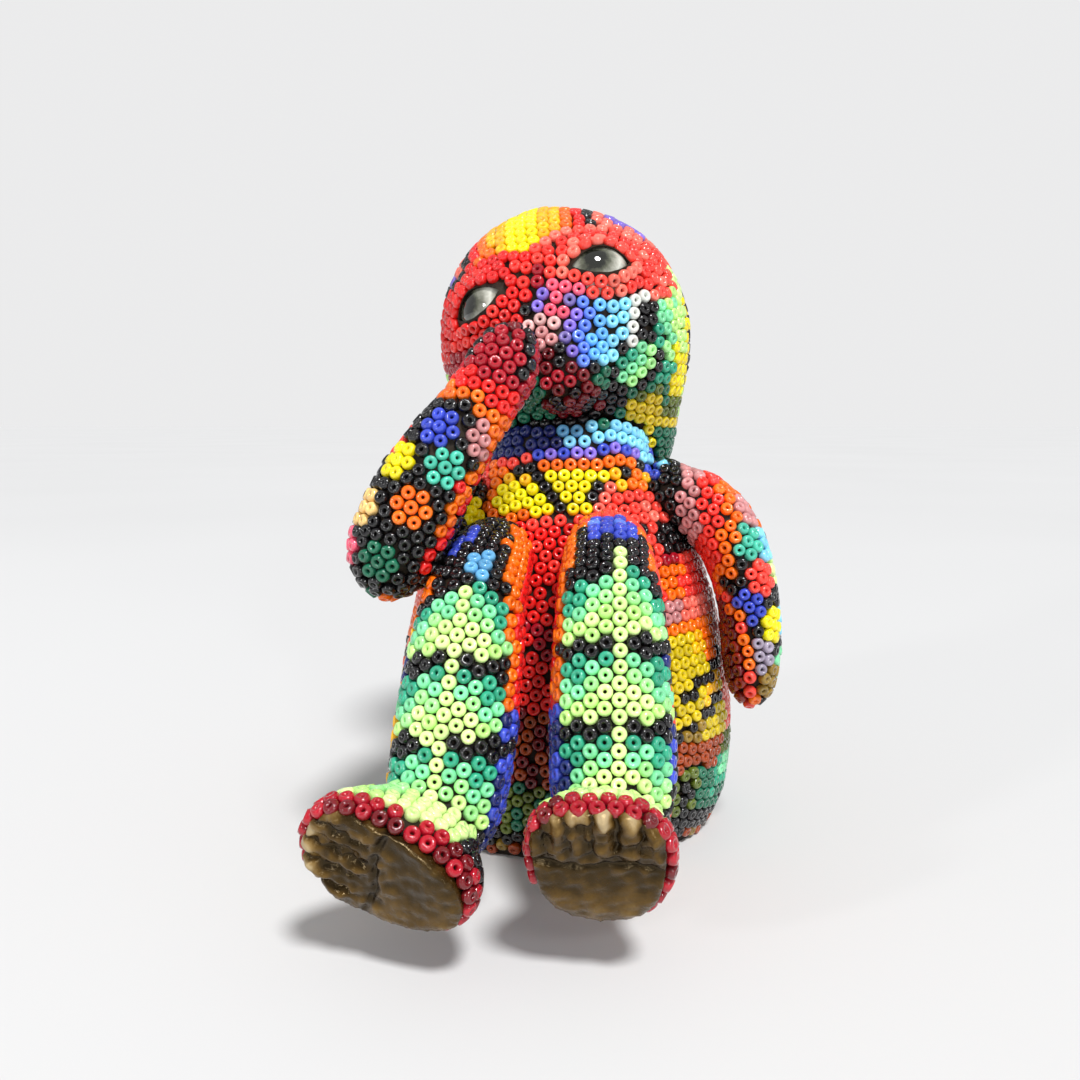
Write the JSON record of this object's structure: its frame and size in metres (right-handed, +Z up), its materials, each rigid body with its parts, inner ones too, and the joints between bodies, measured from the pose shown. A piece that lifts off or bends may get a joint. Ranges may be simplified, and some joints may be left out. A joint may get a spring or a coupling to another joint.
{
  "type": "beaded folk-art figure",
  "caption": "Seated folk-art figure of carved wood with a hand at its mouth, coated in wax and pressed glass seed beads, with glass eyes and bare waxed soles.",
  "frame": {"origin": "middle of the flat base, on the surface that the figure stands on", "axes": "+Z up through the head, -Y out of the face and towards the soles, +X to the figure's left"},
  "size_m": [0.0645, 0.086, 0.1028],
  "materials": {
    "carved_wood": "bare carved light wood",
    "dowel_wood": "turned hardwood dowel",
    "bees_wax": "brown beeswax and resin, satin",
    "beads_warm": "opaque glass seed beads, glossy, mainly orange, red and yellow",
    "beads_red": "opaque glass seed beads, glossy, mainly red, blue and green",
    "beads_dark": "opaque glass seed beads, glossy, mainly black with bright rosettes",
    "beads_green": "opaque glass seed beads, glossy, mainly lime, mint and black",
    "eye_glass": "clear polished glass",
    "eye_paint": "painted backing with a dark pupil",
    "sole_wax": "bare dark brown wax, glossy"
  },
  "bodies": {
    "root": {"torso_core": "carved_wood", "head_core": "carved_wood", "arm_core_right": "carved_wood", "arm_core_left": "carved_wood", "leg_core_right": "carved_wood", "leg_core_left": "carved_wood", "neck_dowel": "dowel_wood", "arm_dowel_right": "dowel_wood", "arm_dowel_left": "dowel_wood", "leg_dowel_right": "dowel_wood", "leg_dowel_left": "dowel_wood", "torso_wax": "bees_wax", "head_wax": "bees_wax", "arm_wax_right": "bees_wax", "arm_wax_left": "bees_wax", "leg_wax_right": "bees_wax", "leg_wax_left": "bees_wax", "torso_beads": "beads_warm", "head_beads": "beads_red", "arm_beads_right": "beads_dark", "arm_beads_left": "beads_dark", "leg_beads_right": "beads_green", "leg_beads_left": "beads_green", "eye_glass_right": "eye_glass", "eye_glass_left": "eye_glass", "eye_back_right": "eye_paint", "eye_back_left": "eye_paint", "sole_right": "sole_wax", "sole_left": "sole_wax"}
  },
  "joints": []
}
